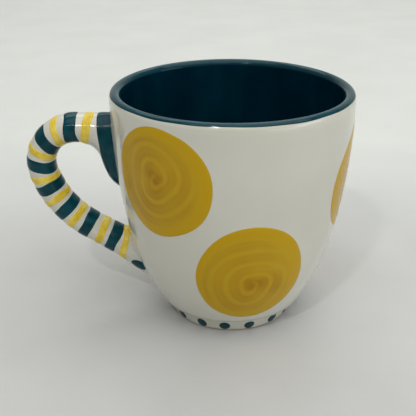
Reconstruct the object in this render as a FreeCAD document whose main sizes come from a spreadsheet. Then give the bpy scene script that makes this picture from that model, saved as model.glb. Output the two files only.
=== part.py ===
import FreeCAD, Part
import math
import os
import Sketcher

# Hand-painted stoneware mug with a pulled loop handle, modelled as the layers it is made of: thrown clay,
# the handle and the slip that joins it, the fired glazes, and the coloured glaze brushed on top.
# Millimetres. The origin is the centre of the foot's underside, +Z is up, and the handle points to -X.

doc = FreeCAD.newDocument("painted_mug")

# ---------------------------------------------------------------------------------------------------------
# Driving dimensions
# ---------------------------------------------------------------------------------------------------------

SIZES = (
    ("mug_height", 100.0, "foot to the top of the glazed lip"),
    ("rim_radius", 50.1, "outside of the glaze at the lip"),
    ("side_radius", 285.0, "slow curve of the upper wall"),
    ("belly_radius", 97.0, "fuller curve of the belly"),
    ("belly_start", 39.2, "height where the upper curve turns into the belly"),
    ("belly_end", 8.2, "height where the belly ends above the foot ring"),
    ("clay_wall", 3.8, "thickness of the thrown wall"),
    ("glaze", 0.5, "thickness of a fired glaze"),
    ("paint", 0.2, "how far a brushed colour stands above the white glaze"),
    ("colour_line", 40.0, "angle on the lip where the liner glaze ends, up from the outside"),
    ("floor_height", 9.5, "clay floor inside the mug"),
    ("inner_corner", 14.0, "radius between the inner wall and the floor"),
    ("foot_radius", 25.7, "outside of the bare foot where it stands"),
    ("foot_bore", 22.4, "inside of the foot ring"),
    ("foot_recess", 3.4, "depth of the hollow under the floor"),
    ("foot_bare", 0.8, "height of clay left bare of glaze around the foot"),
    ("ring_radius", 28.8, "foot ring where it meets the belly"),
    ("ring_height", 7.2, "height of the foot ring"),
    ("slip", 0.5, "thickness of the slip that joins the handle"),
    ("handle_drop", 17.5, "lip down to the middle of the handle's upper leg"),
    ("handle_reach", 30.7, "lip out to the middle of the handle's far side"),
    ("handle_thickness", 11.2, "clay handle, across its bend"),
    ("handle_width", 13.6, "clay handle, along its bend's axis"),
    ("bow_radius", 15.8, "tight upper bend of the handle"),
    ("bow_turn", 104.8, "angle that the upper bend turns through"),
    ("leg_radius", 40.7, "slow lower bend of the handle"),
    ("leg_turn", 43.3, "angle that the lower bend turns through"),
    ("upper_pad_height", 33.6, "clay smeared down the wall at the upper joint"),
    ("upper_pad_proud", 12.0, "upper pad's full thickness, most of it in the wall"),
    ("upper_pad_width", 17.0, "upper pad around the wall"),
    ("upper_pad_drop", 27.0, "lip down to the middle of the upper pad"),
    ("upper_pad_sink", 1.6, "middle of the upper pad inside the lip's radius"),
    ("lower_pad_height", 26.0, "clay smeared down the wall at the lower joint"),
    ("lower_pad_proud", 13.0, "lower pad's full thickness, most of it in the wall"),
    ("lower_pad_width", 17.0, "lower pad around the wall"),
    ("lower_pad_sink", 0.5, "middle of the lower pad inside the wall's surface"),
    ("first_teal", 17.1, "wall out along the handle to the middle of the first full teal band"),
    ("last_teal", 15.4, "lower joint back along the handle to the middle of the last full teal band"),
    ("teal_width", 4.8, "teal band along the handle"),
    ("yellow_width", 3.1, "yellow band along the handle"),
    ("joint_teal_reach", 6.4, "how far the teal on the upper joint reaches from the wall"),
    ("joint_dab_radius", 2.9, "small teal dab under the lower joint"),
    ("joint_dab_drop", 7.2, "middle of the lower pad down to the dab"),
    ("spot_radius", 22.6, "large yellow spot"),
    ("dot_radius", 2.3, "teal dot on the foot ring"),
    ("dot_height", 3.3, "foot up to the middle of a dot"),
    ("dot_turn", 4.0, "turn of the ring of dots from the handle's square"),
)

sizes = doc.addObject("Spreadsheet::Sheet", "Sizes")
for row, (alias, number, note) in enumerate(SIZES, start=1):
    sizes.set(f"A{row}", alias)
    sizes.set(f"B{row}", str(number))
    sizes.set(f"C{row}", note)
    sizes.setAlias(f"B{row}", alias)
doc.recompute()

# Spots by azimuth, turned from -Y towards +X in degrees, and by how far they hang below the lip or stand
# above the table.
SPOTS = (
    (-35.0, "Sizes.mug_height - 26.5"),
    (10.5, "35.0"),
    (83.0, "Sizes.mug_height - 34.0"),
    (133.0, "33.0"),
    (180.0, "Sizes.mug_height - 28.0"),
    (-135.0, "40.0"),
)
DOTS = 16
TEAL_BANDS = 7
YELLOW_BANDS = 8
CUTTER_RADIUS = 9.5     # fat enough to cut through the handle, thin enough to clear its bend's centre
FORM_DEPTH = 12.0       # how deep inside the mug a cutting shape starts


def size(expression):
    """The number that an expression on the sheet gives now."""
    result = sizes.evalExpression(expression)
    return float(getattr(result, "Value", result))


def dim(name):
    return f"Sizes.{name}"


# ---------------------------------------------------------------------------------------------------------
# Expressions for the wall: two tangent arcs under a half-round lip, set in from the glaze by an inset
# ---------------------------------------------------------------------------------------------------------

LIP_Z = "(Sizes.mug_height - Sizes.glaze - Sizes.clay_wall / 2)"
LIP_X = "(Sizes.rim_radius - Sizes.glaze - Sizes.clay_wall / 2)"
SIDE_TURN = f"asin(({LIP_Z} - Sizes.belly_start) / Sizes.side_radius)"
SIDE_X = "(Sizes.rim_radius - Sizes.side_radius)"
BELLY_X = f"({SIDE_X} + (Sizes.side_radius - Sizes.belly_radius) * cos({SIDE_TURN}))"
BELLY_Z = f"({LIP_Z} - (Sizes.side_radius - Sizes.belly_radius) * sin({SIDE_TURN}))"
INNER = "(Sizes.glaze + Sizes.clay_wall)"
LINED = "(2 * Sizes.glaze + Sizes.clay_wall)"


def belly_x(inset, height):
    """Radius of the belly at a height, set in by an inset."""
    return f"({BELLY_X} + sqrt((Sizes.belly_radius - {inset})^2 - ({BELLY_Z} - ({height}))^2))"


def rim(inset):
    return (f"({dim('rim_radius')} - {inset})", LIP_Z)


def junction(inset):
    """Point where the upper curve and the belly meet."""
    radius = f"(Sizes.side_radius - {inset})"
    return (f"({SIDE_X} + {radius} * cos({SIDE_TURN}))", f"({LIP_Z} - {radius} * sin({SIDE_TURN}))")


def side_arc(inset):
    return ("arc", (SIDE_X, LIP_Z), f"(Sizes.side_radius - {inset})")


def belly_arc(inset):
    return ("arc", (BELLY_X, BELLY_Z), f"(Sizes.belly_radius - {inset})")


CORNER_Z = "(Sizes.floor_height + Sizes.inner_corner)"
CORNER_SPAN = f"(Sizes.belly_radius - {INNER} - Sizes.inner_corner)"
CORNER_X = f"({BELLY_X} + sqrt({CORNER_SPAN}^2 - ({BELLY_Z} - {CORNER_Z})^2))"


def corner_start(inset):
    """Point where the inner belly turns into the corner above the floor."""
    share = f"((Sizes.belly_radius - {inset}) / {CORNER_SPAN})"
    x = f"({BELLY_X} + ({CORNER_X} - {BELLY_X}) * {share})"
    z = f"({BELLY_Z} + ({CORNER_Z} - {BELLY_Z}) * {share})"
    return (x, z)


def corner_end(lift):
    return (CORNER_X, f"(Sizes.floor_height + {lift})")


def corner_arc(lift):
    return ("arc", (CORNER_X, CORNER_Z), f"(Sizes.inner_corner - {lift})")


def lip_arc(lift):
    return ("round", (LIP_X, LIP_Z), f"(Sizes.clay_wall / 2 + {lift})")


def colour_line(lift):
    radius = f"(Sizes.clay_wall / 2 + {lift})"
    return (f"({LIP_X} + {radius} * cos(Sizes.colour_line))",
            f"({LIP_Z} + {radius} * sin(Sizes.colour_line))")


def ring_x(height, grow):
    """Outside of the foot ring at a height, grown outwards."""
    slope = "((Sizes.ring_radius - Sizes.foot_radius) / Sizes.ring_height)"
    return f"(Sizes.foot_radius + {slope} * ({height}) + {grow})"


def ring_top(grow):
    height = f"(Sizes.ring_height - {grow})"
    return (ring_x(height, grow), height)


def belly_foot(inset, grow):
    height = f"(Sizes.belly_end - {grow})"
    return (belly_x(inset, height), height)


LINE = ("line",)

# ---------------------------------------------------------------------------------------------------------
# Building blocks
# ---------------------------------------------------------------------------------------------------------


def bind(sketch, kind, refs, expression):
    """Adds a dimension to a sketch and ties it to the sheet."""
    number = size(expression)
    index = sketch.addConstraint(Sketcher.Constraint(kind, *refs, number))
    sketch.setExpression(f"Constraints[{index}]", expression)


def pin(sketch, edge, end, point):
    """Ties one end of an edge to its place, or to an axis where that place is on one."""
    x, z = point
    if x == "0":
        sketch.addConstraint(Sketcher.Constraint("PointOnObject", edge, end, -2))
    else:
        bind(sketch, "DistanceX", (-1, 1, edge, end), x)
    if z == "0":
        sketch.addConstraint(Sketcher.Constraint("PointOnObject", edge, end, -1))
    else:
        bind(sketch, "DistanceY", (-1, 1, edge, end), z)


def draw(sketch, corners, edges, closed=True):
    """Draws an outline through its corners, each edge a line or a circular arc about a centre.

    An arc is held by its radius, and a round of half a circle by the height of its centre.
    """
    places = [FreeCAD.Vector(size(x), size(z), 0) for x, z in corners]
    count = len(edges)
    ends = []
    for number, edge in enumerate(edges):
        start = places[number]
        stop = places[(number + 1) % len(places)]
        if edge[0] == "line":
            sketch.addGeometry(Part.LineSegment(start, stop), False)
            ends.append((1, 2))
            continue
        centre = FreeCAD.Vector(size(edge[1][0]), size(edge[1][1]), 0)
        first = math.atan2(start.y - centre.y, start.x - centre.x)
        last = math.atan2(stop.y - centre.y, stop.x - centre.x)
        forward = (last - first) % (2 * math.pi) < math.pi + 1e-6
        if not forward:
            first, last = last, first
        circle = Part.Circle(centre, FreeCAD.Vector(0, 0, 1), size(edge[2]))
        sketch.addGeometry(Part.ArcOfCircle(circle, first, last), False)
        ends.append((1, 2) if forward else (2, 1))
    for number in range(count if closed else count - 1):
        after = (number + 1) % count
        refs = (number, ends[number][1], after, ends[after][0])
        sketch.addConstraint(Sketcher.Constraint("Coincident", *refs))
    for number, edge in enumerate(edges):
        pin(sketch, number, ends[number][0], corners[number])
        if edge[0] == "arc":
            bind(sketch, "Radius", (number,), edge[2])
        elif edge[0] == "round":
            bind(sketch, "DistanceY", (-1, 1, number, 3), edge[1][1])
    if not closed:
        pin(sketch, count - 1, ends[-1][1], corners[-1])


def turned(label, corners, edges):
    """A body turned about +Z from an outline in the XZ plane."""
    body = doc.addObject("PartDesign::Body", label)
    body.Label = label
    plane = next(item for item in body.Origin.OriginFeatures if item.Role == "XZ_Plane")
    sketch = body.newObject("Sketcher::SketchObject", f"{label}_outline")
    sketch.AttachmentSupport = [(plane, "")]
    sketch.MapMode = "FlatFace"
    draw(sketch, corners, edges)
    doc.recompute()
    turn = body.newObject("PartDesign::Revolution", f"{label}_turn")
    turn.Profile = sketch
    turn.ReferenceAxis = (sketch, ["V_Axis"])
    turn.Angle = 360
    body.Tip = turn
    doc.recompute()
    return body


def combine(kind, label, first, second):
    """Cuts, fuses or intersects two objects."""
    joined = doc.addObject(f"Part::{kind}", label)
    joined.Label = label
    joined.Base = first
    joined.Tool = second
    return joined


def place(item, position, axis=(0, 1, 0), angle="0"):
    """Binds a placement to the sheet: a position and a turn about one axis."""
    x, y, z = position
    item.setExpression(
        "Placement",
        f"placement(vector({x}; {y}; {z}); rotation(vector({axis[0]}; {axis[1]}; {axis[2]}); {angle}))")


def peg(label, radius, azimuth, height, start, length):
    """A level peg that points outwards from the mug's axis at an azimuth."""
    item = doc.addObject("Part::Cylinder", label)
    item.setExpression("Radius", radius)
    item.setExpression("Height", length)
    # A peg along +Z is laid down to -Y, then turned to its azimuth: two turns that make one placement.
    item.setExpression(
        "Placement",
        f"placement(vector({start} * sin({azimuth}); -{start} * cos({azimuth}); {height});"
        f" rotation(vector(0; 0; 1); {azimuth}) * rotation(vector(1; 0; 0); 90))")
    return item


# ---------------------------------------------------------------------------------------------------------
# Thrown and turned pieces
# ---------------------------------------------------------------------------------------------------------

GLAZE = dim("glaze")
SKIN = "0"
PAINTED = "(0 - Sizes.paint)"

clay = turned(
    "stoneware_body",
    (
        (dim("foot_bore"), "0"),
        (dim("foot_radius"), "0"),
        ring_top(SKIN),
        belly_foot(GLAZE, SKIN),
        junction(GLAZE),
        rim(GLAZE),
        rim(INNER),
        junction(INNER),
        corner_start(INNER),
        corner_end(SKIN),
        ("0", dim("floor_height")),
        ("0", dim("foot_recess")),
        (dim("foot_bore"), dim("foot_recess")),
    ),
    (LINE, LINE, LINE, belly_arc(GLAZE), side_arc(GLAZE), lip_arc(SKIN), side_arc(INNER),
     belly_arc(INNER), corner_arc(SKIN), LINE, LINE, LINE, LINE),
)

liner = turned(
    "liner_glaze",
    (
        ("0", dim("floor_height")),
        corner_end(SKIN),
        corner_start(INNER),
        junction(INNER),
        rim(INNER),
        colour_line(SKIN),
        colour_line(GLAZE),
        rim(LINED),
        junction(LINED),
        corner_start(LINED),
        corner_end(GLAZE),
        ("0", f"(Sizes.floor_height + {GLAZE})"),
    ),
    (LINE, corner_arc(SKIN), belly_arc(INNER), side_arc(INNER), lip_arc(SKIN), LINE, lip_arc(GLAZE),
     side_arc(LINED), belly_arc(LINED), corner_arc(GLAZE), LINE, LINE),
)

glaze_coat = turned(
    "glaze_coat",
    (
        (ring_x(dim("foot_bare"), SKIN), dim("foot_bare")),
        ring_top(SKIN),
        belly_foot(GLAZE, SKIN),
        junction(GLAZE),
        rim(GLAZE),
        colour_line(SKIN),
        colour_line(GLAZE),
        rim(SKIN),
        junction(SKIN),
        belly_foot(SKIN, GLAZE),
        ring_top(GLAZE),
        (ring_x(dim("foot_bare"), GLAZE), dim("foot_bare")),
    ),
    (LINE, LINE, belly_arc(GLAZE), side_arc(GLAZE), lip_arc(SKIN), LINE, lip_arc(GLAZE),
     side_arc(SKIN), belly_arc(SKIN), LINE, LINE, LINE),
)

base_glaze = turned(
    "base_glaze",
    (
        ("0", dim("foot_recess")),
        (dim("foot_bore"), dim("foot_recess")),
        (dim("foot_bore"), dim("foot_bare")),
        (f"(Sizes.foot_bore - {GLAZE})", dim("foot_bare")),
        (f"(Sizes.foot_bore - {GLAZE})", f"(Sizes.foot_recess - {GLAZE})"),
        ("0", f"(Sizes.foot_recess - {GLAZE})"),
    ),
    (LINE, LINE, LINE, LINE, LINE, LINE),
)


def form(label, inset):
    """The mug filled solid up to its lip's middle, its outside set in from the glaze by an inset."""
    grow = f"({GLAZE} - {inset})"
    corners = (
        ("0", "0"),
        (ring_x("0", grow), "0"),
        ring_top(grow),
        belly_foot(inset, grow),
        junction(inset),
        rim(inset),
        ("0", LIP_Z),
    )
    return turned(label, corners, (LINE, LINE, LINE, belly_arc(inset), side_arc(inset), LINE, LINE))


clay_form = form("clay_form", GLAZE)
slip_form = form("slip_form", "(Sizes.glaze - Sizes.slip)")
glaze_form = form("glaze_form", SKIN)
paint_form = form("paint_form", PAINTED)

# ---------------------------------------------------------------------------------------------------------
# The pulled handle: one elliptical section along a stub, a tight bow, a slow leg and a straight tail
# ---------------------------------------------------------------------------------------------------------

HANDLE_Z = "(Sizes.mug_height - Sizes.handle_drop)"
BOW_X = "(0 - Sizes.rim_radius - Sizes.handle_reach + Sizes.bow_radius)"
BOW_Z = f"({HANDLE_Z} - Sizes.bow_radius)"
BOW_HEADING = "(180 + Sizes.bow_turn)"
LEG_HEADING = "(180 + Sizes.bow_turn + Sizes.leg_turn)"
SPREAD = "(Sizes.leg_radius - Sizes.bow_radius)"
LEG_X = f"({BOW_X} - {SPREAD} * sin({BOW_HEADING}))"
LEG_Z = f"({BOW_Z} + {SPREAD} * cos({BOW_HEADING}))"
STUB_LENGTH = "(Sizes.handle_reach - Sizes.bow_radius)"
BOW_LENGTH = "(Sizes.bow_radius * Sizes.bow_turn * pi / 180)"
LEG_LENGTH = "(Sizes.leg_radius * Sizes.leg_turn * pi / 180)"


def on_bow(heading):
    return (f"({BOW_X} + Sizes.bow_radius * sin({heading}))",
            f"({BOW_Z} - Sizes.bow_radius * cos({heading}))")


def on_leg(heading):
    return (f"({LEG_X} + Sizes.leg_radius * sin({heading}))",
            f"({LEG_Z} - Sizes.leg_radius * cos({heading}))")


def on_tail(distance):
    x, z = on_leg(LEG_HEADING)
    return (f"({x} + ({distance}) * cos({LEG_HEADING}))", f"({z} + ({distance}) * sin({LEG_HEADING}))")


def station(distance):
    """Place and heading at a distance along the handle's middle line, from the lip's radius."""
    along = size(distance)
    bow_start = size(STUB_LENGTH)
    leg_start = bow_start + size(BOW_LENGTH)
    tail_start = leg_start + size(LEG_LENGTH)
    if along < bow_start:
        return (f"(0 - Sizes.rim_radius - ({distance}))", HANDLE_Z), "180"
    if along < leg_start:
        heading = f"(180 + (({distance}) - {STUB_LENGTH}) / Sizes.bow_radius * 180 / pi)"
        return on_bow(heading), heading
    if along < tail_start:
        turn = f"((({distance}) - {STUB_LENGTH} - {BOW_LENGTH}) / Sizes.leg_radius * 180 / pi)"
        heading = f"({BOW_HEADING} + {turn})"
        return on_leg(heading), heading
    return on_tail(f"({distance}) - {STUB_LENGTH} - {BOW_LENGTH} - {LEG_LENGTH}"), LEG_HEADING


# The tail's middle line meets the clay where it crosses the belly's circle, seen from the handle's side.
LEG_END = on_leg(LEG_HEADING)
OUT_X = f"({LEG_END[0]} + {BELLY_X})"
OUT_Z = f"({LEG_END[1]} - {BELLY_Z})"
ALONG = f"({OUT_X} * cos({LEG_HEADING}) + {OUT_Z} * sin({LEG_HEADING}))"
CHORD = f"sqrt({ALONG}^2 - {OUT_X}^2 - {OUT_Z}^2 + (Sizes.belly_radius - {GLAZE})^2)"
TAIL_TO_WALL = f"(0 - {ALONG} - {CHORD})"
HANDLE_LENGTH = f"({STUB_LENGTH} + {BOW_LENGTH} + {LEG_LENGTH} + {TAIL_TO_WALL})"

# The tail runs on inside the mug, and stops well short of the belly's underside.
TAIL_LENGTH = f"({TAIL_TO_WALL} + {FORM_DEPTH})"

spine = doc.addObject("Sketcher::SketchObject", "handle_spine")
spine.Placement = FreeCAD.Placement(FreeCAD.Vector(0, 0, 0), FreeCAD.Rotation(FreeCAD.Vector(1, 0, 0), 90))
INNER_END = (f"(0 - Sizes.rim_radius + {FORM_DEPTH})", HANDLE_Z)
draw(
    spine,
    (INNER_END, (BOW_X, HANDLE_Z), on_bow(BOW_HEADING), on_leg(LEG_HEADING), on_tail(TAIL_LENGTH)),
    (
        LINE,
        ("arc", (BOW_X, BOW_Z), dim("bow_radius")),
        ("arc", (LEG_X, LEG_Z), dim("leg_radius")),
        LINE,
    ),
    closed=False,
)
doc.recompute()

LOWER_Z = f"({LEG_END[1]} + {TAIL_TO_WALL} * sin({LEG_HEADING}))"
LOWER_LEAN = f"asin(({BELLY_Z} - {LOWER_Z}) / (Sizes.belly_radius - {GLAZE}))"
LOWER_X = f"(0 - {belly_x(GLAZE, LOWER_Z)} + Sizes.lower_pad_sink)"


def pad(label, name, position, lean, grow):
    """An egg of clay half sunk in the wall, where the handle's end is smeared onto it."""
    egg = doc.addObject("Part::Ellipsoid", label)
    egg.setExpression("Radius1", f"Sizes.{name}_proud / 2 + {grow}")
    egg.setExpression("Radius2", f"Sizes.{name}_height / 2 + {grow}")
    egg.setExpression("Radius3", f"Sizes.{name}_width / 2 + {grow}")
    # The egg's poles point out of the wall and into it, so that neither lies on a glazed surface.
    place(egg, position, angle=f"(-1 * (90 deg + {lean}))")
    return egg


def handle_form(label, grow):
    """The whole handle with both smeared ends, its surface grown outwards."""
    section = doc.addObject("Part::Ellipse", f"{label}_section")
    section.setExpression("MajorRadius", f"Sizes.handle_width / 2 + {grow}")
    section.setExpression("MinorRadius", f"Sizes.handle_thickness / 2 + {grow}")
    # The ellipse stands square to the stub, with its long axis along Y.
    section.setExpression(
        "Placement",
        f"placement(vector({INNER_END[0]}; 0; {HANDLE_Z});"
        " rotation(vector(0; 1; 0); -90) * rotation(vector(0; 0; 1); 90))")
    sweep = doc.addObject("Part::Sweep", f"{label}_sweep")
    sweep.Sections = [section]
    sweep.Spine = (spine, [f"Edge{number}" for number in range(1, 5)])
    sweep.Solid = True
    sweep.Frenet = False
    upper_x = "(0 - Sizes.rim_radius + Sizes.upper_pad_sink)"
    upper_z = "(Sizes.mug_height - Sizes.upper_pad_drop)"
    upper = pad(f"{label}_upper", "upper_pad", (upper_x, "0", upper_z), "0 deg", grow)
    lower = pad(f"{label}_lower", "lower_pad", (LOWER_X, "0", LOWER_Z), LOWER_LEAN, grow)
    whole = doc.addObject("Part::MultiFuse", label)
    whole.Shapes = [sweep, upper, lower]
    return whole


core_form = handle_form("core_form", SKIN)
coated_form = handle_form("coated_form", GLAZE)
painted_form = handle_form("painted_form", "(Sizes.glaze + Sizes.paint)")
doc.recompute()

handle_core = combine("Cut", "handle_core", core_form, slip_form)
slip_coat = combine("Cut", "slip_coat", slip_form, clay_form)
slip_both = combine("Common", "slip_both", core_form, slip_coat)


def half_space(label, bottom, top):
    """A block around the handle side of the mug between two heights."""
    block = doc.addObject("Part::Box", label)
    reach = "(2 * Sizes.rim_radius)"
    block.setExpression("Length", reach)
    block.setExpression("Width", reach)
    block.setExpression("Height", f"({top}) - ({bottom})")
    place(block, (f"(0 - {reach})", "(0 - Sizes.rim_radius)", f"({bottom})"))
    return block


MIDDLE_Z = f"({LOWER_Z} / 2 + {HANDLE_Z} / 2)"
above = half_space("above_middle", MIDDLE_Z, "Sizes.mug_height")
below = half_space("below_middle", "0", MIDDLE_Z)
upper_slip = combine("Common", "upper_slip_joint", slip_both, above)
lower_slip = combine("Common", "lower_slip_joint", slip_both, below)

# The white glaze runs over the wall and the handle, but not under the handle's joints.
outer_glaze = combine("Cut", "outer_glaze", glaze_coat, core_form)
handle_coat = combine("Cut", "handle_coat", coated_form, core_form)
handle_glaze = combine("Cut", "handle_glaze", handle_coat, glaze_form)

# ---------------------------------------------------------------------------------------------------------
# Coloured glaze brushed over the white
# ---------------------------------------------------------------------------------------------------------

wall_paint = combine("Cut", "wall_paint", paint_form, glaze_form)
handle_skin = combine("Cut", "handle_skin", painted_form, coated_form)
handle_paint = combine("Cut", "handle_paint", handle_skin, glaze_form)
painted = []

for number, (azimuth, height) in enumerate(SPOTS, start=1):
    cutter = peg(f"spot_cutter_{number}", dim("spot_radius"), f"({azimuth})", f"({height})",
                 f"({FORM_DEPTH})", "(2 * Sizes.rim_radius)")
    painted.append(combine("Common", f"yellow_spot_{number}", wall_paint, cutter))

for number in range(DOTS):
    azimuth = f"({number} * 360 / {DOTS} - Sizes.dot_turn)"
    cutter = peg(f"dot_cutter_{number + 1}", dim("dot_radius"), azimuth, dim("dot_height"),
                 f"({FORM_DEPTH})", "Sizes.ring_radius")
    painted.append(combine("Common", f"foot_dot_{number + 1:02d}", wall_paint, cutter))


def band(label, middle, width):
    """A ring of colour around the handle, cut square to its middle line."""
    rings = []
    for side, sign in (("start", "-"), ("stop", "+")):
        (x, z), heading = station(f"{middle} {sign} {width} / 2")
        ring = doc.addObject("Part::Circle", f"{label}_{side}")
        ring.Radius = CUTTER_RADIUS
        place(ring, (x, "0", z), angle=f"(90 - {heading})")
        rings.append(ring)
    cutter = doc.addObject("Part::Loft", f"{label}_cutter")
    cutter.Sections = rings
    cutter.Ruled = True
    cutter.Solid = True
    return combine("Common", label, handle_paint, cutter)


PITCH = f"(({HANDLE_LENGTH} - Sizes.first_teal - Sizes.last_teal) / {TEAL_BANDS - 1})"
for number in range(TEAL_BANDS):
    middle = f"(Sizes.first_teal + {number} * {PITCH})"
    painted.append(band(f"teal_band_{number + 1}", middle, dim("teal_width")))
for number in range(YELLOW_BANDS):
    middle = f"(Sizes.first_teal + ({number} - 0.5) * {PITCH})"
    painted.append(band(f"yellow_band_{number + 1}", middle, dim("yellow_width")))

joint_block = doc.addObject("Part::Box", "upper_joint_block")
joint_block.setExpression("Length", "Sizes.joint_teal_reach + Sizes.rim_radius")
joint_block.setExpression("Width", "2 * Sizes.upper_pad_width")
joint_block.setExpression("Height", f"{LIP_Z} - {MIDDLE_Z}")
BLOCK_X = "(0 - Sizes.rim_radius - Sizes.joint_teal_reach)"
place(joint_block, (BLOCK_X, "(0 - Sizes.upper_pad_width)", MIDDLE_Z))
painted.append(combine("Common", "upper_joint_teal", handle_paint, joint_block))

dab_cutter = peg("dab_cutter", dim("joint_dab_radius"), "(-90)", f"({LOWER_Z} - Sizes.joint_dab_drop)",
                 f"({FORM_DEPTH})", "(2 * Sizes.rim_radius)")
painted.append(combine("Common", "lower_joint_dab", handle_paint, dab_cutter))
doc.recompute()

# ---------------------------------------------------------------------------------------------------------
# Checks and export
# ---------------------------------------------------------------------------------------------------------

SUB_PARTS = [clay, handle_core, upper_slip, lower_slip, liner, outer_glaze, base_glaze, handle_glaze]
SUB_PARTS += painted

for item in doc.Objects:
    if "Invalid" in item.State or "Error" in item.State:
        raise RuntimeError(f"{item.Label} failed: {item.State}")
for item in SUB_PARTS:
    if item.Shape.isNull() or not item.Shape.isValid() or not item.Shape.Solids:
        raise RuntimeError(f"{item.Label} has no valid solid")
    if len(item.Shape.Solids) != 1:
        raise RuntimeError(f"{item.Label} came out as {len(item.Shape.Solids)} solids")

os.makedirs("parts", exist_ok=True)
for item in SUB_PARTS:
    item.Shape.exportStep(f"parts/{item.Label}.step")
    box = item.Shape.BoundBox
    print(f"{item.Label:20s} volume {item.Shape.Volume:10.1f}  z {box.ZMin:7.2f} to {box.ZMax:7.2f}")
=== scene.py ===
import math
import random

import bmesh
import bpy
from mathutils import Matrix, Vector


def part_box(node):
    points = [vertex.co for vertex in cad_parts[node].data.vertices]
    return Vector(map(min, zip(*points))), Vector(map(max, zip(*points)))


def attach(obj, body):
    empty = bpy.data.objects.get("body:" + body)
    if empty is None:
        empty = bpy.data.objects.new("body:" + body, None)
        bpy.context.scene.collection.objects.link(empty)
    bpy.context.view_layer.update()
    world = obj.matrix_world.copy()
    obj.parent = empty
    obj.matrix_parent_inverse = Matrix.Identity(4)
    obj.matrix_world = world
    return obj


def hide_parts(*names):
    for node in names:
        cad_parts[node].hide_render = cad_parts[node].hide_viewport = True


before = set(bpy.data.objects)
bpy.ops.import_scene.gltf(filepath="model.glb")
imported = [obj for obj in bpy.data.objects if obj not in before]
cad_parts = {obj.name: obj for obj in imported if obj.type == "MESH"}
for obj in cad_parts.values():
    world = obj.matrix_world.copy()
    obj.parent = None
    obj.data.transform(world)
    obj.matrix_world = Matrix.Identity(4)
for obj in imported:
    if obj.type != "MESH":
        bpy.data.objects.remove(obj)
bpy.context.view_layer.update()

# ---------------------------------------------------------------------------------------------------------
# White glaze on the cup. The cup is thrown in buff stoneware with a full belly and an almost upright rim,
# dipped in a glossy warm white glaze that covers the outside from the lip down to the foot, and fired. The
# glaze pools a little above the foot ring and is wiped off just before the clay touches the table.
# ---------------------------------------------------------------------------------------------------------

MM = 0.001
LIP_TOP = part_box("liner_glaze")[1][2]
RIM_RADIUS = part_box("outer_glaze")[1][0]
SIDE_RADIUS = 285.0 * MM
BELLY_RADIUS = 97.0 * MM
BELLY_START = 39.2 * MM
BELLY_END = 7.7 * MM
GLAZE = 0.5 * MM
CLAY_WALL = 3.8 * MM
LIP_RADIUS = CLAY_WALL / 2 + GLAZE
LIP_Z = LIP_TOP - LIP_RADIUS
LIP_X = RIM_RADIUS - LIP_RADIUS
SIDE_CENTRE = (RIM_RADIUS - SIDE_RADIUS, LIP_Z)
SIDE_TURN = math.asin((LIP_Z - BELLY_START) / SIDE_RADIUS)
BELLY_CENTRE = (
    SIDE_CENTRE[0] + (SIDE_RADIUS - BELLY_RADIUS) * math.cos(SIDE_TURN),
    SIDE_CENTRE[1] - (SIDE_RADIUS - BELLY_RADIUS) * math.sin(SIDE_TURN),
)
FOOT_RADIUS = 25.7 * MM
RING_RADIUS = 28.8 * MM
RING_HEIGHT = 7.2 * MM
FOOT_BARE = 0.8 * MM
COLOUR_LINE = math.radians(40)
TURNS = 224
SHARP = math.radians(42)
MERGE = 1e-6


def wall_radius(height, inset=0.0):
    """Radius of the cup's glazed outside at a height, or of a surface set in from it."""
    centre, radius = (SIDE_CENTRE, SIDE_RADIUS) if height > BELLY_START else (BELLY_CENTRE, BELLY_RADIUS)
    rise = min(max(height - centre[1], -radius), radius)
    return centre[0] + math.sqrt((radius - inset) ** 2 - min(rise, 0.0) ** 2)


def wall_lean(height):
    """Angle of the wall's outward normal below the level."""
    centre, radius = (SIDE_CENTRE, SIDE_RADIUS) if height > BELLY_START else (BELLY_CENTRE, BELLY_RADIUS)
    return math.asin(max(min((centre[1] - height) / radius, 1.0), 0.0))


def wall_point(azimuth, height, lift):
    """A point on the cup's outside. Azimuth is turned from -Y towards +X."""
    lean = wall_lean(height)
    out = wall_radius(height) + lift * math.cos(lean)
    return Vector((out * math.sin(azimuth), -out * math.cos(azimuth), height - lift * math.sin(lean)))


def ring_radius(height, grow=GLAZE):
    return FOOT_RADIUS + (RING_RADIUS - FOOT_RADIUS) * height / RING_HEIGHT + grow


def fired(point):
    """The small warp that drying and firing leave: the cup is a hair oval and its lip is not quite level."""
    azimuth = math.atan2(point.y, point.x)
    share = min(max(point.z / LIP_TOP, 0.0), 1.0)
    oval = 1 - 0.0016 * share * (1 + math.cos(2 * azimuth - 0.7))
    ripple = 1 - 0.0004 * (1 + math.sin(point.z / (1.15 * MM) + 0.8 * math.sin(azimuth)))
    sag = 0.12 * MM * share * (1 + math.sin(2 * azimuth + 1.1))
    return Vector((point.x * oval * ripple, point.y * oval * ripple, point.z - sag * share))


def sweep_arc(centre, radius, start, stop, steps):
    """Points of an arc in the outline's plane, from one angle to another."""
    angles = [start + (stop - start) * step / steps for step in range(steps + 1)]
    return [(centre[0] + radius * math.cos(a), centre[1] + radius * math.sin(a)) for a in angles]


def side_and_belly(inset, foot, steps=46):
    """The wall's outline from its lip down to a height, set in from the glazed outside."""
    heights = [LIP_Z + (foot - LIP_Z) * step / steps for step in range(steps + 1)]
    return [(wall_radius(height, inset), height) for height in heights]


def finish_mesh(name, bm, material):
    """Turns a bmesh into a smooth-shaded object that rides on the mug."""
    bmesh.ops.recalc_face_normals(bm, faces=bm.faces)
    mesh = bpy.data.meshes.new(name)
    bm.to_mesh(mesh)
    bm.free()
    mesh.shade_smooth()
    mesh.set_sharp_from_angle(angle=SHARP)
    mesh.materials.append(material)
    piece = bpy.data.objects.new(name, mesh)
    bpy.context.scene.collection.objects.link(piece)
    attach(piece, "root")
    return piece


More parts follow.
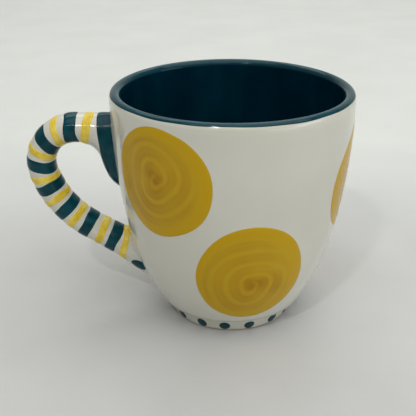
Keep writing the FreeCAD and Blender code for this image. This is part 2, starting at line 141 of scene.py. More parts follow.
def spun(name, outline, material, shape=fired):
    """Turns a closed outline about the cup's axis and lets the kiln warp it."""
    bm = bmesh.new()
    verts = [bm.verts.new((x, 0, z)) for x, z in outline]
    edges = [bm.edges.new((verts[i - 1], verts[i])) for i in range(len(verts))]
    bmesh.ops.spin(bm, geom=verts + edges, cent=(0, 0, 0), axis=(0, 0, 1), angle=math.tau, steps=TURNS,
                   use_merge=True)
    bmesh.ops.remove_doubles(bm, verts=bm.verts, dist=MERGE)
    bmesh.ops.dissolve_degenerate(bm, edges=bm.edges, dist=1e-7)
    for vert in bm.verts:
        vert.co = shape(vert.co)
    return finish_mesh(name, bm, material)


class Recipe:
    """A material's node tree, with short calls for the nodes that a glaze needs."""

    def __init__(self, name):
        self.material = bpy.data.materials.new(name)
        self.material.use_nodes = True
        self.tree = self.material.node_tree
        self.shader = self.tree.nodes["Principled BSDF"]
        self.coords = self.tree.nodes.new("ShaderNodeTexCoord").outputs["Object"]

    def add(self, kind, links=None, **values):
        node = self.tree.nodes.new(kind)
        for key, value in values.items():
            setattr(node, key, value)
        for socket, value in (links or {}).items():
            self.feed(node.inputs[socket], value)
        return node

    def feed(self, socket, value):
        if isinstance(value, bpy.types.NodeSocket):
            self.tree.links.new(value, socket)
        else:
            socket.default_value = value

    def math(self, operation, first, second=0.0):
        return self.add("ShaderNodeMath", {0: first, 1: second}, operation=operation).outputs[0]

    def noise(self, scale, detail, vector=None):
        links = {"Vector": vector or self.coords, "Scale": scale, "Detail": detail}
        return self.add("ShaderNodeTexNoise", links).outputs["Fac"]

    def stretch(self, scale):
        return self.add("ShaderNodeMapping", {"Vector": self.coords, "Scale": scale}).outputs["Vector"]

    def carried(self, name):
        """A value that the mesh itself carries at each point."""
        return self.add("ShaderNodeAttribute", attribute_name=name).outputs["Fac"]

    def streaks(self, scale, detail):
        """Noise that also changes across the brush's way, like the marks of its hairs."""
        links = {"Vector": self.coords, "W": self.carried("along"), "Scale": scale, "Detail": detail}
        return self.add("ShaderNodeTexNoise", links, noise_dimensions="4D").outputs["Fac"]

    def span(self, value, low, high, to_low=0.0, to_high=1.0):
        links = {"Value": value, "From Min": low, "From Max": high, "To Min": to_low, "To Max": to_high}
        return self.add("ShaderNodeMapRange", links).outputs["Result"]

    def mix(self, share, first, second):
        node = self.add("ShaderNodeMix", data_type="RGBA")
        self.feed(node.inputs[0], share)
        self.feed(node.inputs[6], first)
        self.feed(node.inputs[7], second)
        return node.outputs[2]

    def bump(self, height, distance, below=None, strength=1.0):
        links = {"Height": height, "Distance": distance, "Strength": strength}
        if below is not None:
            links["Normal"] = below
        return self.add("ShaderNodeBump", links).outputs["Normal"]

    def gloss(self, colour, roughness, normal, coat, shine=0.14):
        self.feed(self.shader.inputs["Base Color"], colour)
        self.feed(self.shader.inputs["Roughness"], roughness)
        self.feed(self.shader.inputs["Normal"], normal)
        self.shader.inputs["IOR"].default_value = 1.50
        self.shader.inputs["Specular IOR Level"].default_value = shine
        self.shader.inputs["Coat Weight"].default_value = coat
        self.shader.inputs["Coat Roughness"].default_value = 0.04
        return self.material


def white_glaze():
    """Warm white glaze: faint clouding, a few iron specks and pinholes, and a soft orange-peel surface."""
    glaze = Recipe("white_glaze")
    cloud = glaze.span(glaze.noise(26.0, 4.0), 0.35, 0.68)
    fine = glaze.span(glaze.noise(190.0, 3.0), 0.3, 0.7)
    base = glaze.mix(cloud, (0.615, 0.600, 0.515, 1), (0.655, 0.645, 0.572, 1))
    base = glaze.mix(glaze.math("MULTIPLY", fine, 0.10), base, (0.62, 0.60, 0.51, 1))
    height = glaze.add("ShaderNodeSeparateXYZ", {0: glaze.coords}).outputs["Z"]
    pooled = glaze.span(height, 8.5 * MM, 6.0 * MM)
    base = glaze.mix(glaze.math("MULTIPLY", pooled, 0.30), base, (0.62, 0.61, 0.53, 1))
    thin = glaze.span(height, 2.4 * MM, 0.7 * MM)
    base = glaze.mix(glaze.math("MULTIPLY", thin, 0.65), base, (0.62, 0.50, 0.30, 1))
    cells = glaze.add("ShaderNodeTexVoronoi", {"Vector": glaze.coords, "Scale": 62.0})
    tint = glaze.add("ShaderNodeSeparateColor", {0: cells.outputs["Color"]}).outputs[0]
    chosen = glaze.math("GREATER_THAN", tint, 0.91)
    spot = glaze.span(cells.outputs["Distance"], 0.016, 0.028, 1.0, 0.0)
    speck = glaze.math("MULTIPLY", spot, chosen)
    base = glaze.mix(glaze.math("MULTIPLY", speck, 0.75), base, (0.20, 0.13, 0.07, 1))
    peel = glaze.bump(glaze.noise(420.0, 2.0), 0.00002, strength=0.5)
    wavy = glaze.bump(glaze.noise(70.0, 2.0), 0.00012, peel, 0.35)
    pits = glaze.bump(glaze.math("SUBTRACT", 1.0, speck), 0.00008, wavy, 0.8)
    roughness = glaze.span(glaze.noise(55.0, 3.0), 0.3, 0.7, 0.10, 0.20)
    return glaze.gloss(base, roughness, pits, coat=0.3, shine=0.4)


WHITE = white_glaze()
UNDER_LINE = math.radians(52)
LIP_SHOULDER = math.radians(18)
BEAD = 0.35 * MM
RING_TOP = RING_HEIGHT - GLAZE
RING_DROPS = (0.0, 2.0 * MM, 4.0 * MM, 5.2 * MM)

white_top = sweep_arc((LIP_X, LIP_Z), LIP_RADIUS - 0.12 * MM, UNDER_LINE, LIP_SHOULDER, 8)
white_outside = side_and_belly(0.0, BELLY_END)
ring_drop = [(ring_radius(RING_TOP - drop), RING_TOP - drop) for drop in RING_DROPS]
white_bottom = [(ring_radius(FOOT_BARE) - 0.1 * MM, FOOT_BARE), (ring_radius(FOOT_BARE, 0.0), FOOT_BARE)]
white_inside = side_and_belly(GLAZE, BELLY_END + GLAZE)[::-1]
white_back = sweep_arc((LIP_X, LIP_Z), CLAY_WALL / 2, 0.0, UNDER_LINE, 8)
crease = [
    (white_outside[-1][0] - BEAD, BELLY_END - 0.15 * MM),
    (ring_radius(RING_HEIGHT, GLAZE + BEAD), RING_HEIGHT - 0.30 * MM),
]
white_outline = white_top + white_outside + crease + ring_drop + white_bottom
white_outline += [(ring_radius(RING_HEIGHT, 0.0), RING_HEIGHT)] + white_inside + white_back[1:]
cup_white = spun("cup_white_glaze", white_outline, WHITE)
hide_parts("outer_glaze")

# ---------------------------------------------------------------------------------------------------------
# Liner glaze. A dark teal glaze is poured into the cup and out again, then the lip is dipped in it, so it
# rolls over the lip and stops in a hand-cut line just over the outer shoulder. It is deepest where it is
# thick inside, and breaks to a paler, thinner teal along the crest of the lip.
# ---------------------------------------------------------------------------------------------------------

FLOOR = 9.5 * MM
INNER_CORNER = 14.0 * MM
FLOOR_EASE = 0.2
INNER = GLAZE + CLAY_WALL
LINED = INNER + GLAZE
CORNER_Z = FLOOR + INNER_CORNER
CORNER_SPAN = BELLY_RADIUS - INNER - INNER_CORNER
CORNER_X = BELLY_CENTRE[0] + math.sqrt(CORNER_SPAN ** 2 - (BELLY_CENTRE[1] - CORNER_Z) ** 2)
CORNER_ANGLE = math.atan2(CORNER_Z - BELLY_CENTRE[1], CORNER_X - BELLY_CENTRE[0])


def cup_inside(inset, lift):
    """Outline of the cup's inside from the lip down to the axis."""
    corner = sweep_arc((CORNER_X, CORNER_Z), INNER_CORNER - lift, CORNER_ANGLE, FLOOR_EASE - math.pi / 2, 14)
    wall = side_and_belly(inset, corner[0][1], 40)
    edge, low = corner[-1]
    dish = math.tan(FLOOR_EASE) * edge / 4
    floor = [(edge * share, low - dish * (1 - share ** 4)) for share in (0.88, 0.76, 0.64, 0.5, 0.25, 0.0)]
    return wall[:-1] + corner + floor


def liner_glaze():
    """Dark teal glaze: slow runs down the wall, clouding, and a paler break along the lip."""
    glaze = Recipe("liner_glaze")
    runs = glaze.noise(60.0, 4.0, glaze.stretch((1.0, 1.0, 0.22)))
    cloud = glaze.span(glaze.math("ADD", runs, glaze.noise(35.0, 3.0)), 0.75, 1.25)
    deep = glaze.mix(cloud, (0.0003, 0.014, 0.027, 1), (0.0008, 0.026, 0.044, 1))
    height = glaze.add("ShaderNodeSeparateXYZ", {0: glaze.coords}).outputs["Z"]
    crest = glaze.span(height, LIP_TOP - 2.6 * MM, LIP_TOP - 0.2 * MM)
    broken = glaze.math("MULTIPLY", crest, glaze.span(glaze.noise(160.0, 4.0), 0.30, 0.72, 0.45, 1.0))
    colour = glaze.mix(broken, deep, (0.004, 0.062, 0.080, 1))
    peel = glaze.bump(glaze.noise(380.0, 2.0), 0.00002, strength=0.5)
    wavy = glaze.bump(glaze.noise(48.0, 3.0, glaze.stretch((1.0, 1.0, 0.4))), 0.0002, peel, 0.3)
    roughness = glaze.span(glaze.noise(60.0, 3.0), 0.3, 0.7, 0.07, 0.15)
    return glaze.gloss(colour, roughness, wavy, coat=0.1)


LINER = liner_glaze()
LINE_START = COLOUR_LINE - math.radians(4)
LINE_SWAY = math.radians(4)
STILL_LIP = math.radians(70)


def hand_cut(point):
    """The liner's outer line wanders a little, because it is drawn by hand."""
    reach = math.hypot(point.x, point.y)
    angle = math.atan2(point.z - LIP_Z, reach - LIP_X)
    azimuth = math.atan2(point.y, point.x)
    if 0 < angle < STILL_LIP and reach > LIP_X:
        sway = 0.6 * math.sin(3 * azimuth + 1.0) + 0.5 * math.sin(7 * azimuth)
        sway += 0.35 * math.sin(16 * azimuth + 2)
        turn = LINE_SWAY * sway * min((STILL_LIP - angle) / math.radians(30), 1.0)
        radius = math.hypot(reach - LIP_X, point.z - LIP_Z)
        reach = LIP_X + radius * math.cos(angle + turn)
        point = Vector((reach * math.cos(azimuth), reach * math.sin(azimuth),
                        LIP_Z + radius * math.sin(angle + turn)))
    return fired(point)


lip_crest = sweep_arc((LIP_X, LIP_Z), LIP_RADIUS, LINE_START + math.radians(7), math.pi, 30)
lip_edge = sweep_arc((LIP_X, LIP_Z), LIP_RADIUS - 0.05 * MM, LINE_START, LINE_START + math.radians(3.5), 2)
lip_under = sweep_arc((LIP_X, LIP_Z), LIP_RADIUS - 0.3 * MM, LINE_START + math.radians(2), LINE_START, 1)
lip_back = sweep_arc((LIP_X, LIP_Z), CLAY_WALL / 2 + 0.02 * MM, math.pi, UNDER_LINE, 20)
liner_outline = lip_edge + lip_crest + cup_inside(LINED, GLAZE)[1:] + cup_inside(INNER, 0.0)[::-1]
liner_outline += lip_back[1:] + lip_under
liner = spun("teal_liner", liner_outline, LINER, hand_cut)
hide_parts("liner_glaze")

# ---------------------------------------------------------------------------------------------------------
# Stoneware clay. Buff stoneware with fine iron specks is thrown for the cup, trimmed on the wheel to leave a
# foot ring, and left bare where it stands. The handle is pulled from the same clay and joined with slip, so
# its core and its two joints stay hidden under the glaze.
# ---------------------------------------------------------------------------------------------------------

FOOT_BORE = 22.4 * MM
RECESS = 3.4 * MM
EASE = 0.45 * MM
HAIR = 0.02 * MM


def stoneware():
    """Bare fired clay: toasted buff, iron specks, grog and the rings left by the trimming tool."""
    clay = Recipe("bare_stoneware")
    toast = clay.span(clay.noise(45.0, 4.0), 0.35, 0.68)
    base = clay.mix(toast, (0.40, 0.31, 0.215, 1), (0.55, 0.46, 0.345, 1))
    grog = clay.span(clay.noise(900.0, 2.0), 0.62, 0.70)
    base = clay.mix(clay.math("MULTIPLY", grog, 0.55), base, (0.17, 0.10, 0.06, 1))
    sand = clay.span(clay.noise(1600.0, 2.0), 0.4, 0.6)
    base = clay.mix(clay.math("MULTIPLY", sand, 0.18), base, (0.68, 0.60, 0.48, 1))
    xyz = clay.add("ShaderNodeSeparateXYZ", {0: clay.coords})
    flat = clay.add("ShaderNodeCombineXYZ", {0: xyz.outputs["X"], 1: xyz.outputs["Y"]}).outputs[0]
    reach = clay.add("ShaderNodeVectorMath", {0: flat}, operation="LENGTH").outputs["Value"]
    rings = clay.math("SINE", clay.math("MULTIPLY", reach, 9000.0))
    tooled = clay.bump(rings, 0.00003, strength=0.5)
    grain = clay.bump(clay.noise(1300.0, 3.0), 0.00006, tooled, 0.8)
    roughness = clay.span(clay.noise(240.0, 3.0), 0.3, 0.7, 0.72, 0.92)
    return clay.gloss(base, roughness, grain, coat=0.0)


CLAY = stoneware()
foot_outline = [
    (FOOT_BORE + EASE, 0.0),
    (FOOT_RADIUS - EASE, 0.0),
    (FOOT_RADIUS - 0.12 * MM, 0.12 * MM),
    (ring_radius(EASE, 0.0), EASE),
    (ring_radius(RING_HEIGHT, -HAIR), RING_HEIGHT),
]
clay_outside = side_and_belly(GLAZE + HAIR, BELLY_END + GLAZE)[::-1]
clay_lip = sweep_arc((LIP_X, LIP_Z), CLAY_WALL / 2 - HAIR, 0.0, math.pi, 16)
recess_outline = [
    (0.0, RECESS),
    (FOOT_BORE * 0.5, RECESS),
    (FOOT_BORE, RECESS),
    (FOOT_BORE, EASE),
    (FOOT_BORE + 0.12 * MM, 0.12 * MM),
]
clay_outline = foot_outline + clay_outside + clay_lip[1:-1] + cup_inside(INNER - HAIR, -HAIR)
clay_body = spun("clay_cup", clay_outline + recess_outline, CLAY)
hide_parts("stoneware_body")

# ---------------------------------------------------------------------------------------------------------
# Glaze under the foot. The hollow inside the foot ring is brushed with the same white glaze, which draws
# back from the ring in a soft rounded edge and gathers in the corner of the hollow.
# ---------------------------------------------------------------------------------------------------------

POOL = 1.4 * MM
base_corner = sweep_arc((FOOT_BORE - GLAZE - POOL, RECESS - GLAZE - POOL), POOL, math.pi / 2, 0.0, 8)
base_outline = [
    (0.0, RECESS),
    (FOOT_BORE, RECESS),
    (FOOT_BORE, FOOT_BARE),
    (FOOT_BORE - 0.2 * MM, FOOT_BARE),
    (FOOT_BORE - GLAZE, FOOT_BARE + 0.3 * MM),
]
base_outline += base_corner[::-1] + [(FOOT_BORE * 0.5, RECESS - GLAZE), (0.0, RECESS - GLAZE)]
base_white = spun("foot_hollow_glaze", base_outline, WHITE)
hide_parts("base_glaze")

# ---------------------------------------------------------------------------------------------------------
# Handle. A strap of the same clay is pulled by hand, bent into a tight bow and a long slow leg, and pressed
# onto the cup while both are soft. Its ends are smeared down the wall, and white glaze covers all of it.
# ---------------------------------------------------------------------------------------------------------

HANDLE_Z = LIP_TOP - 17.5 * MM
HALF_THICK = 6.1 * MM
HALF_WIDTH = 7.3 * MM
BOW_RADIUS = 15.8 * MM
BOW_TURN = math.radians(104.8)
LEG_RADIUS = 40.7 * MM
LEG_TURN = math.radians(43.3)
BOW_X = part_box("handle_glaze")[0].x + HALF_THICK + BOW_RADIUS
STUB = -RIM_RADIUS - BOW_X
BOW_END = STUB + BOW_RADIUS * BOW_TURN
LEG_END = BOW_END + LEG_RADIUS * LEG_TURN
UPPER_SEAT = -0.6 * MM
LOWER_SEAT = 102.2 * MM
LOWER_SKEW = 10.3 * MM
SKEW_START = 80.0 * MM
LOWER_SLANT = 0.6
SUNK = 1.4 * MM
FLARE_OUT_START = 88.0 * MM
FLARE_IN_START = 80.0 * MM

# How far the clay hangs below the handle's middle line, by distance out from the lip's radius.
UPPER_SMEAR = (
    (-2.0 * MM, 28.2 * MM),
    (0.3 * MM, 25.8 * MM),
    (2.0 * MM, 22.8 * MM),
    (3.3 * MM, 18.2 * MM),
    (4.6 * MM, 13.4 * MM),
    (6.4 * MM, 10.0 * MM),
    (8.6 * MM, 8.0 * MM),
    (11.0 * MM, 6.9 * MM),
    (14.0 * MM, 6.2 * MM),
    (17.0 * MM, 6.1 * MM),
)


def ease(value, low, high):
    share = min(max((value - low) / (high - low), 0.0), 1.0)
    return share * share * (3 - 2 * share)


def through(points, value):
    """A smooth curve through a few points, level beyond them."""
    if value <= points[0][0]:
        return points[0][1]
    if value >= points[-1][0]:
        return points[-1][1]
    last = len(points) - 1
    here = max(i for i in range(last) if points[i][0] <= value)
    slopes = []
    for i in (here, here + 1):
        before, after = points[max(i - 1, 0)], points[min(i + 1, last)]
        slopes.append((after[1] - before[1]) / (after[0] - before[0]))
    (x0, y0), (x1, y1) = points[here], points[here + 1]
    t = (value - x0) / (x1 - x0)
    span = x1 - x0
    return ((2 * t ** 3 - 3 * t ** 2 + 1) * y0 + (t ** 3 - 2 * t ** 2 + t) * span * slopes[0]
            + (3 * t ** 2 - 2 * t ** 3) * y1 + (t ** 3 - t ** 2) * span * slopes[1])


def handle_axis(along):
    """Middle line of the handle at a distance from the lip's radius, and the way to its outer side."""
    if along < STUB:
        place, heading = Vector((-RIM_RADIUS - along, 0, HANDLE_Z)), math.pi
    elif along < BOW_END:
        heading = math.pi + (along - STUB) / BOW_RADIUS
        place = Vector((BOW_X + BOW_RADIUS * math.sin(heading), 0,
                        HANDLE_Z - BOW_RADIUS - BOW_RADIUS * math.cos(heading)))
    else:
        heading = math.pi + BOW_TURN
        spread = LEG_RADIUS - BOW_RADIUS
        centre = Vector((BOW_X - spread * math.sin(heading), 0,
                         HANDLE_Z - BOW_RADIUS + spread * math.cos(heading)))
        heading += min(along - BOW_END, LEG_RADIUS * LEG_TURN) / LEG_RADIUS
        place = centre + LEG_RADIUS * Vector((math.sin(heading), 0, -math.cos(heading)))
        place += max(along - LEG_END, 0.0) * Vector((math.cos(heading), 0, math.sin(heading)))
    return place, Vector((math.sin(heading), 0, -math.cos(heading)))


def lower_skew(along):
    """How far the sections near the lower joint swing round to lie flat on the wall."""
    return LOWER_SKEW * (max(along - SKEW_START, 0.0) / (LOWER_SEAT - SKEW_START)) ** 2


def squared(place, turn):
    """The section through a place on the handle at a turn, so that a stroke crosses the handle squarely."""
    low, high = place - LOWER_SKEW, place + LOWER_SKEW
    for _ in range(24):
        middle = (low + high) / 2
        if middle + lower_skew(middle) * math.cos(turn) < place:
            low = middle
        else:
            high = middle
    return (low + high) / 2


def handle_point(along, turn, share=1.0):
    """A point of the handle's glazed surface. The turn is 0 on its outer side and 90 degrees at +Y."""
    skew = lower_skew(along)
    flare_out = 8.4 * max(along + skew - FLARE_OUT_START, 0.0) ** 2
    flare_in = 4.5 * max(along - skew - FLARE_IN_START, 0.0) ** 2
    flare_in += 1.3 * MM * ease(along - skew, FLARE_OUT_START, 92.0 * MM)
    outer_place, outer_way = handle_axis(along + skew)
    inner_place, inner_way = handle_axis(along - skew)
    outer = outer_place + outer_way * (HALF_THICK + flare_out)
    inner = inner_place - inner_way * (through(UPPER_SMEAR, along - skew) + flare_in)
    width = HALF_WIDTH + 1.7 * MM * (1 - ease(along, -1.0 * MM, 9.0 * MM))
    width += 1.5 * MM * ease(along, 90.0 * MM, 103.0 * MM)
    point = (outer + inner) / 2 + (outer - inner) / 2 * math.cos(turn) * share
    point.y += width * math.sin(turn) * share
    reach = math.hypot(point.x, point.y)
    upper = 1 - ease(along, UPPER_SEAT, 4.5 * MM)
    lower = ease(along, 95.0 * MM, LOWER_SEAT)
    wall = wall_radius(point.z)
    shift = upper * (wall + along - UPPER_SEAT - reach)
    shift += lower * (wall + LOWER_SLANT * (LOWER_SEAT - along) - reach)
    point.x *= 1 + shift / reach
    point.y *= 1 + shift / reach
    return point


def handle_skin(along, turn, lift):
    """A point lifted off the handle's surface, which is a little uneven from the pulling."""
    step = 0.05 * MM
    around = handle_point(along, turn + 0.01) - handle_point(along, turn - 0.01)
    onward = handle_point(along + step, turn) - handle_point(along - step, turn)
    normal = around.cross(onward).normalized()
    uneven = 0.07 * MM * (math.sin(along / (6.1 * MM) + 1.2 * math.cos(turn)) - 1)
    uneven += 0.05 * MM * (math.sin(along / (2.7 * MM) + 2.0 * math.sin(turn) + 1.0) - 1)
    return handle_point(along, turn) + normal * (lift + uneven)


def pulled(name, lift, material, steps=112):
    """Spins a straight strap in a space of distance and turn, then bends it into the handle."""
    first, last = UPPER_SEAT - SUNK, LOWER_SEAT + SUNK / LOWER_SLANT
    rows = 210
    places = [first + (last - first) * row / rows for row in range(rows + 1)]
    bm = bmesh.new()
    verts = [bm.verts.new((0, 0, first))] + [bm.verts.new((1, 0, place)) for place in places]
    verts.append(bm.verts.new((0, 0, last)))
    edges = [bm.edges.new((verts[i], verts[i + 1])) for i in range(len(verts) - 1)]
    bmesh.ops.spin(bm, geom=verts + edges, cent=(0, 0, 0), axis=(0, 0, 1), angle=math.tau, steps=steps,
                   use_merge=True)
    bmesh.ops.remove_doubles(bm, verts=bm.verts, dist=MERGE)
    for vert in bm.verts:
        turn, along = math.atan2(vert.co.y, vert.co.x), vert.co.z
        on_axis = math.hypot(vert.co.x, vert.co.y) < 0.5
        vert.co = handle_point(along, 0, 0.0) if on_axis else handle_skin(along, turn, lift)
    return finish_mesh(name, bm, material)


handle_white = pulled("handle_white_glaze", 0.0, WHITE)
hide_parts("handle_glaze")
handle_clay = pulled("handle_clay", -GLAZE, CLAY, 64)
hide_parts("handle_core", "upper_slip_joint", "lower_slip_joint")

# ---------------------------------------------------------------------------------------------------------
# Stripes on the handle. Teal and yellow glazes are brushed around it in turn over the white, one loaded
# stroke each. Their edges waver, they lean where the wrist turned, and each stands a little proud.
# ---------------------------------------------------------------------------------------------------------

PAINT = 0.2 * MM
UNDER = 0.12 * MM
BAND_ROWS = 12
BAND_STEPS = 128
chance = random.Random(12)


def brushed(glaze, streaks, thin, full, rough):
    """Colour of a brushed stroke: full where the brush left most glaze, paler where it dragged thin."""
    drag = glaze.streaks(streaks, 3.0)
    pool = glaze.noise(230.0, 3.0)
    load = glaze.span(glaze.math("ADD", drag, pool), 0.72, 1.22)
    colour = glaze.mix(load, thin, full)
    peel = glaze.bump(glaze.noise(420.0, 2.0), 0.00002, strength=0.5)
    ridges = glaze.bump(drag, 0.0001, peel, 0.5)
    roughness = glaze.span(glaze.noise(90.0, 3.0), 0.3, 0.7, rough, rough + 0.08)
    return glaze.gloss(colour, roughness, ridges, coat=0.08)


TEAL = brushed(Recipe("teal_stripe"), 120.0, (0.001, 0.066, 0.086, 1), (0.0005, 0.031, 0.043, 1), 0.07)
YELLOW = brushed(Recipe("yellow_stripe"), 120.0, (0.90, 0.74, 0.17, 1), (0.67, 0.45, 0.008, 1), 0.09)


def wander(count, size):
    """A closed wavering line: a few seeded waves around a turn."""
    waves = [(order, chance.uniform(-1, 1) * size / order ** 0.5, chance.uniform(0, math.tau))
             for order in range(1, count + 1)]
    return lambda turn: sum(depth * math.sin(order * turn + phase) for order, depth, phase in waves)


def carry_along(piece, values):
    """Stores how far each point lies along or across the brush's way, for the streaks in its glaze."""
    data = piece.data.attributes.new("along", "FLOAT", "POINT")
    data.data.foreach_set("value", values)


def bend_stretch(place, turn):
    """How much longer the skin is than the middle line there, so a stroke keeps its width around a bend."""
    step = 0.5 * MM
    gap = handle_point(squared(place + step, turn), turn) - handle_point(squared(place - step, turn), turn)
    return max(min(gap.length / (2 * step), 1.7), 0.55) ** 0.75


def stripe(name, node, material, start, stop, lean, even=True):
    """A ring of glaze between two places on the handle, thickest at its middle and rounded at its edges."""
    middle, half = (start + stop) / 2, (stop - start) / 2
    bm = bmesh.new()
    profile = [(-1.0, -UNDER)]
    for row in range(BAND_ROWS + 1):
        t = -math.cos(math.pi * row / BAND_ROWS)
        profile.append((t, PAINT * (1 - abs(t) ** 5)))
    profile += [(1.0, -UNDER), (0.0, -UNDER)]
    verts = [bm.verts.new((1 + lift / MM, 0, t)) for t, lift in profile]
    edges = [bm.edges.new((verts[i - 1], verts[i])) for i in range(len(verts))]
    bmesh.ops.spin(bm, geom=verts + edges, cent=(0, 0, 0), axis=(0, 0, 1), angle=math.tau, steps=BAND_STEPS,
                   use_merge=True)
    bmesh.ops.remove_doubles(bm, verts=bm.verts, dist=MERGE)
    near, far = wander(5, 0.28 * MM), wander(5, 0.28 * MM)
    load = wander(4, 0.12)
    values = []
    for vert in bm.verts:
        turn, t = math.atan2(vert.co.y, vert.co.x), vert.co.z
        lift = (math.hypot(vert.co.x, vert.co.y) - 1) * MM
        centre = middle + lean * math.cos(turn)
        reach = t * half / (bend_stretch(centre, turn) if even else 1.0)
        place = centre + reach + (near(turn) if t < 0 else far(turn)) * abs(t)
        values.append(place / MM * 0.05)
        vert.co = handle_skin(squared(place, turn), turn, lift * (1 + load(turn)) if lift > 0 else lift)
    piece = finish_mesh(name, bm, material)
    carry_along(piece, values)
    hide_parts(node)
    return piece


# Each stroke's middle along the handle, its width, and how far its outer side runs past its middle, in mm.
TEAL_STROKES = (
    (16.4, 5.3, -0.4),
    (28.6, 4.8, -1.0),
    (39.8, 5.0, -1.2),
    (50.2, 4.8, 0.1),
    (62.4, 4.8, 0.3),
    (74.3, 4.9, 0.4),
    (87.2, 4.9, 0.5),
)
YELLOW_STROKES = (
    (10.0, 3.4, -1.2),
    (22.4, 3.2, -1.0),
    (34.0, 2.9, -0.4),
    (45.6, 2.9, -1.1),
    (56.1, 2.9, 0.0),
    (68.0, 3.3, 0.1),
    (81.3, 3.3, 0.7),
    (93.0, 3.4, 2.3),
)

for colour, material, strokes in (("teal", TEAL, TEAL_STROKES), ("yellow", YELLOW, YELLOW_STROKES)):
    for number, (middle, width, lean) in enumerate(strokes, start=1):
        stripe(f"{colour}_stripe_{number}", f"{colour}_band_{number}", material,
               (middle - width / 2) * MM, (middle + width / 2) * MM, lean * MM)

# ---------------------------------------------------------------------------------------------------------
# Teal at the handle's joints. The whole upper joint is brushed with teal from the wall out to the straight
# part of the handle, and one small dab sits under the lower joint, where the handle runs into the cup.
# ---------------------------------------------------------------------------------------------------------

JOINT_START = UPPER_SEAT - 1.8 * MM
JOINT_EDGE = 4.6 * MM
JOINT_LEAN = 0.8 * MM
stripe("upper_joint_teal_brushed", "upper_joint_teal", TEAL,
       JOINT_START, JOINT_EDGE, JOINT_LEAN, even=False)


def daub(name, material, place, rings, steps):
    """A round daub of glaze, spun flat and then laid on a surface by place(share of radius, turn, level)."""
    bm = bmesh.new()
    profile = [(0.0, 1.0)] + [(ring / rings, 1.0) for ring in range(1, rings)]
    profile += [(1.0, 0.5), (1.0, 0.0), (0.0, 0.0)]
    verts = [bm.verts.new((share, 0, level)) for share, level in profile]
    edges = [bm.edges.new((verts[i], verts[i + 1])) for i in range(len(verts) - 1)]
    bmesh.ops.spin(bm, geom=verts + edges, cent=(0, 0, 0), axis=(0, 0, 1), angle=math.tau, steps=steps,
                   use_merge=True)
    bmesh.ops.remove_doubles(bm, verts=bm.verts, dist=MERGE)
    values = []
    for vert in bm.verts:
        share, turn = math.hypot(vert.co.x, vert.co.y), math.atan2(vert.co.y, vert.co.x)
        values.append(share)
        vert.co = place(share, turn, vert.co.z)
    piece = finish_mesh(name, bm, material)
    carry_along(piece, values)
    return piece


DAB_RADIUS = 2.9 * MM
DAB_WIDER = 1.15
DAB_PLACE = 101.6 * MM
DAB_TURN = -1.15
TAIL_GIRTH = 8.5 * MM
dab_edge = wander(4, 0.08)


def on_top(level):
    """Whether a daub's point is on its face, and not on the side that lies against the glaze below."""
    return level > 0.1


def place_dab(share, turn, level):
    reach = DAB_RADIUS * share * (1 + dab_edge(turn))
    around = DAB_TURN + DAB_WIDER * reach * math.sin(turn) / TAIL_GIRTH
    lift = PAINT * math.sqrt(max(1 - share ** 4, 0.0)) if on_top(level) else -UNDER
    return handle_skin(squared(DAB_PLACE + reach * math.cos(turn), around), around, lift)


joint_dab = daub("lower_joint_dab_brushed", TEAL, place_dab, 14, 48)
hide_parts("lower_joint_dab")

# ---------------------------------------------------------------------------------------------------------
# Dots around the foot. Sixteen drops of teal glaze are touched onto the foot ring with a loaded brush tip.
# Each one settles into a low dome, and no two are quite the same size or in line.
# ---------------------------------------------------------------------------------------------------------

DOTS = 16
DOT_RADIUS = 2.3 * MM
DOT_HEIGHT = 3.3 * MM
DOT_TURN = math.radians(4.0)
DOT_DOME = 0.34 * MM


def place_dot(azimuth, height, width, tallness):
    edge = wander(3, 0.05)

    def place(share, turn, level):
        reach = share * (1 + edge(turn))
        across, up = reach * width * math.cos(turn), reach * tallness * math.sin(turn)
        lift = DOT_DOME * math.sqrt(max(1 - share ** 2.6, 0.0)) if on_top(level) else -UNDER
        out = ring_radius(height + up) + lift
        angle = azimuth + across / ring_radius(height)
        return fired(Vector((out * math.sin(angle), -out * math.cos(angle), height + up)))

    return place


for number in range(DOTS):
    azimuth = math.tau * number / DOTS - DOT_TURN + chance.uniform(-0.02, 0.02)
    height = DOT_HEIGHT + chance.uniform(-0.12, 0.12) * MM
    width, tallness = (DOT_RADIUS * chance.uniform(0.95, 1.04) for _ in range(2))
    dot = daub(f"teal_dot_{number + 1:02d}", TEAL, place_dot(azimuth, height, width, tallness), 9, 40)
    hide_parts(f"foot_dot_{number + 1:02d}")

# ---------------------------------------------------------------------------------------------------------
# Yellow spots. Each is painted in one spiral stroke from its middle outwards with a loaded brush. It keeps
# the brush's turns: raised lines, darker ochre where the glaze is thick, and a clean, purer yellow rim.
# ---------------------------------------------------------------------------------------------------------

SPOT_RADIUS = 22.6 * MM
SPOT_FILM = 0.15 * MM
SPOT_RINGS = 96
SPOT_STEPS = 176
STROKE = 6.0 * MM
NOTCH = 0.022


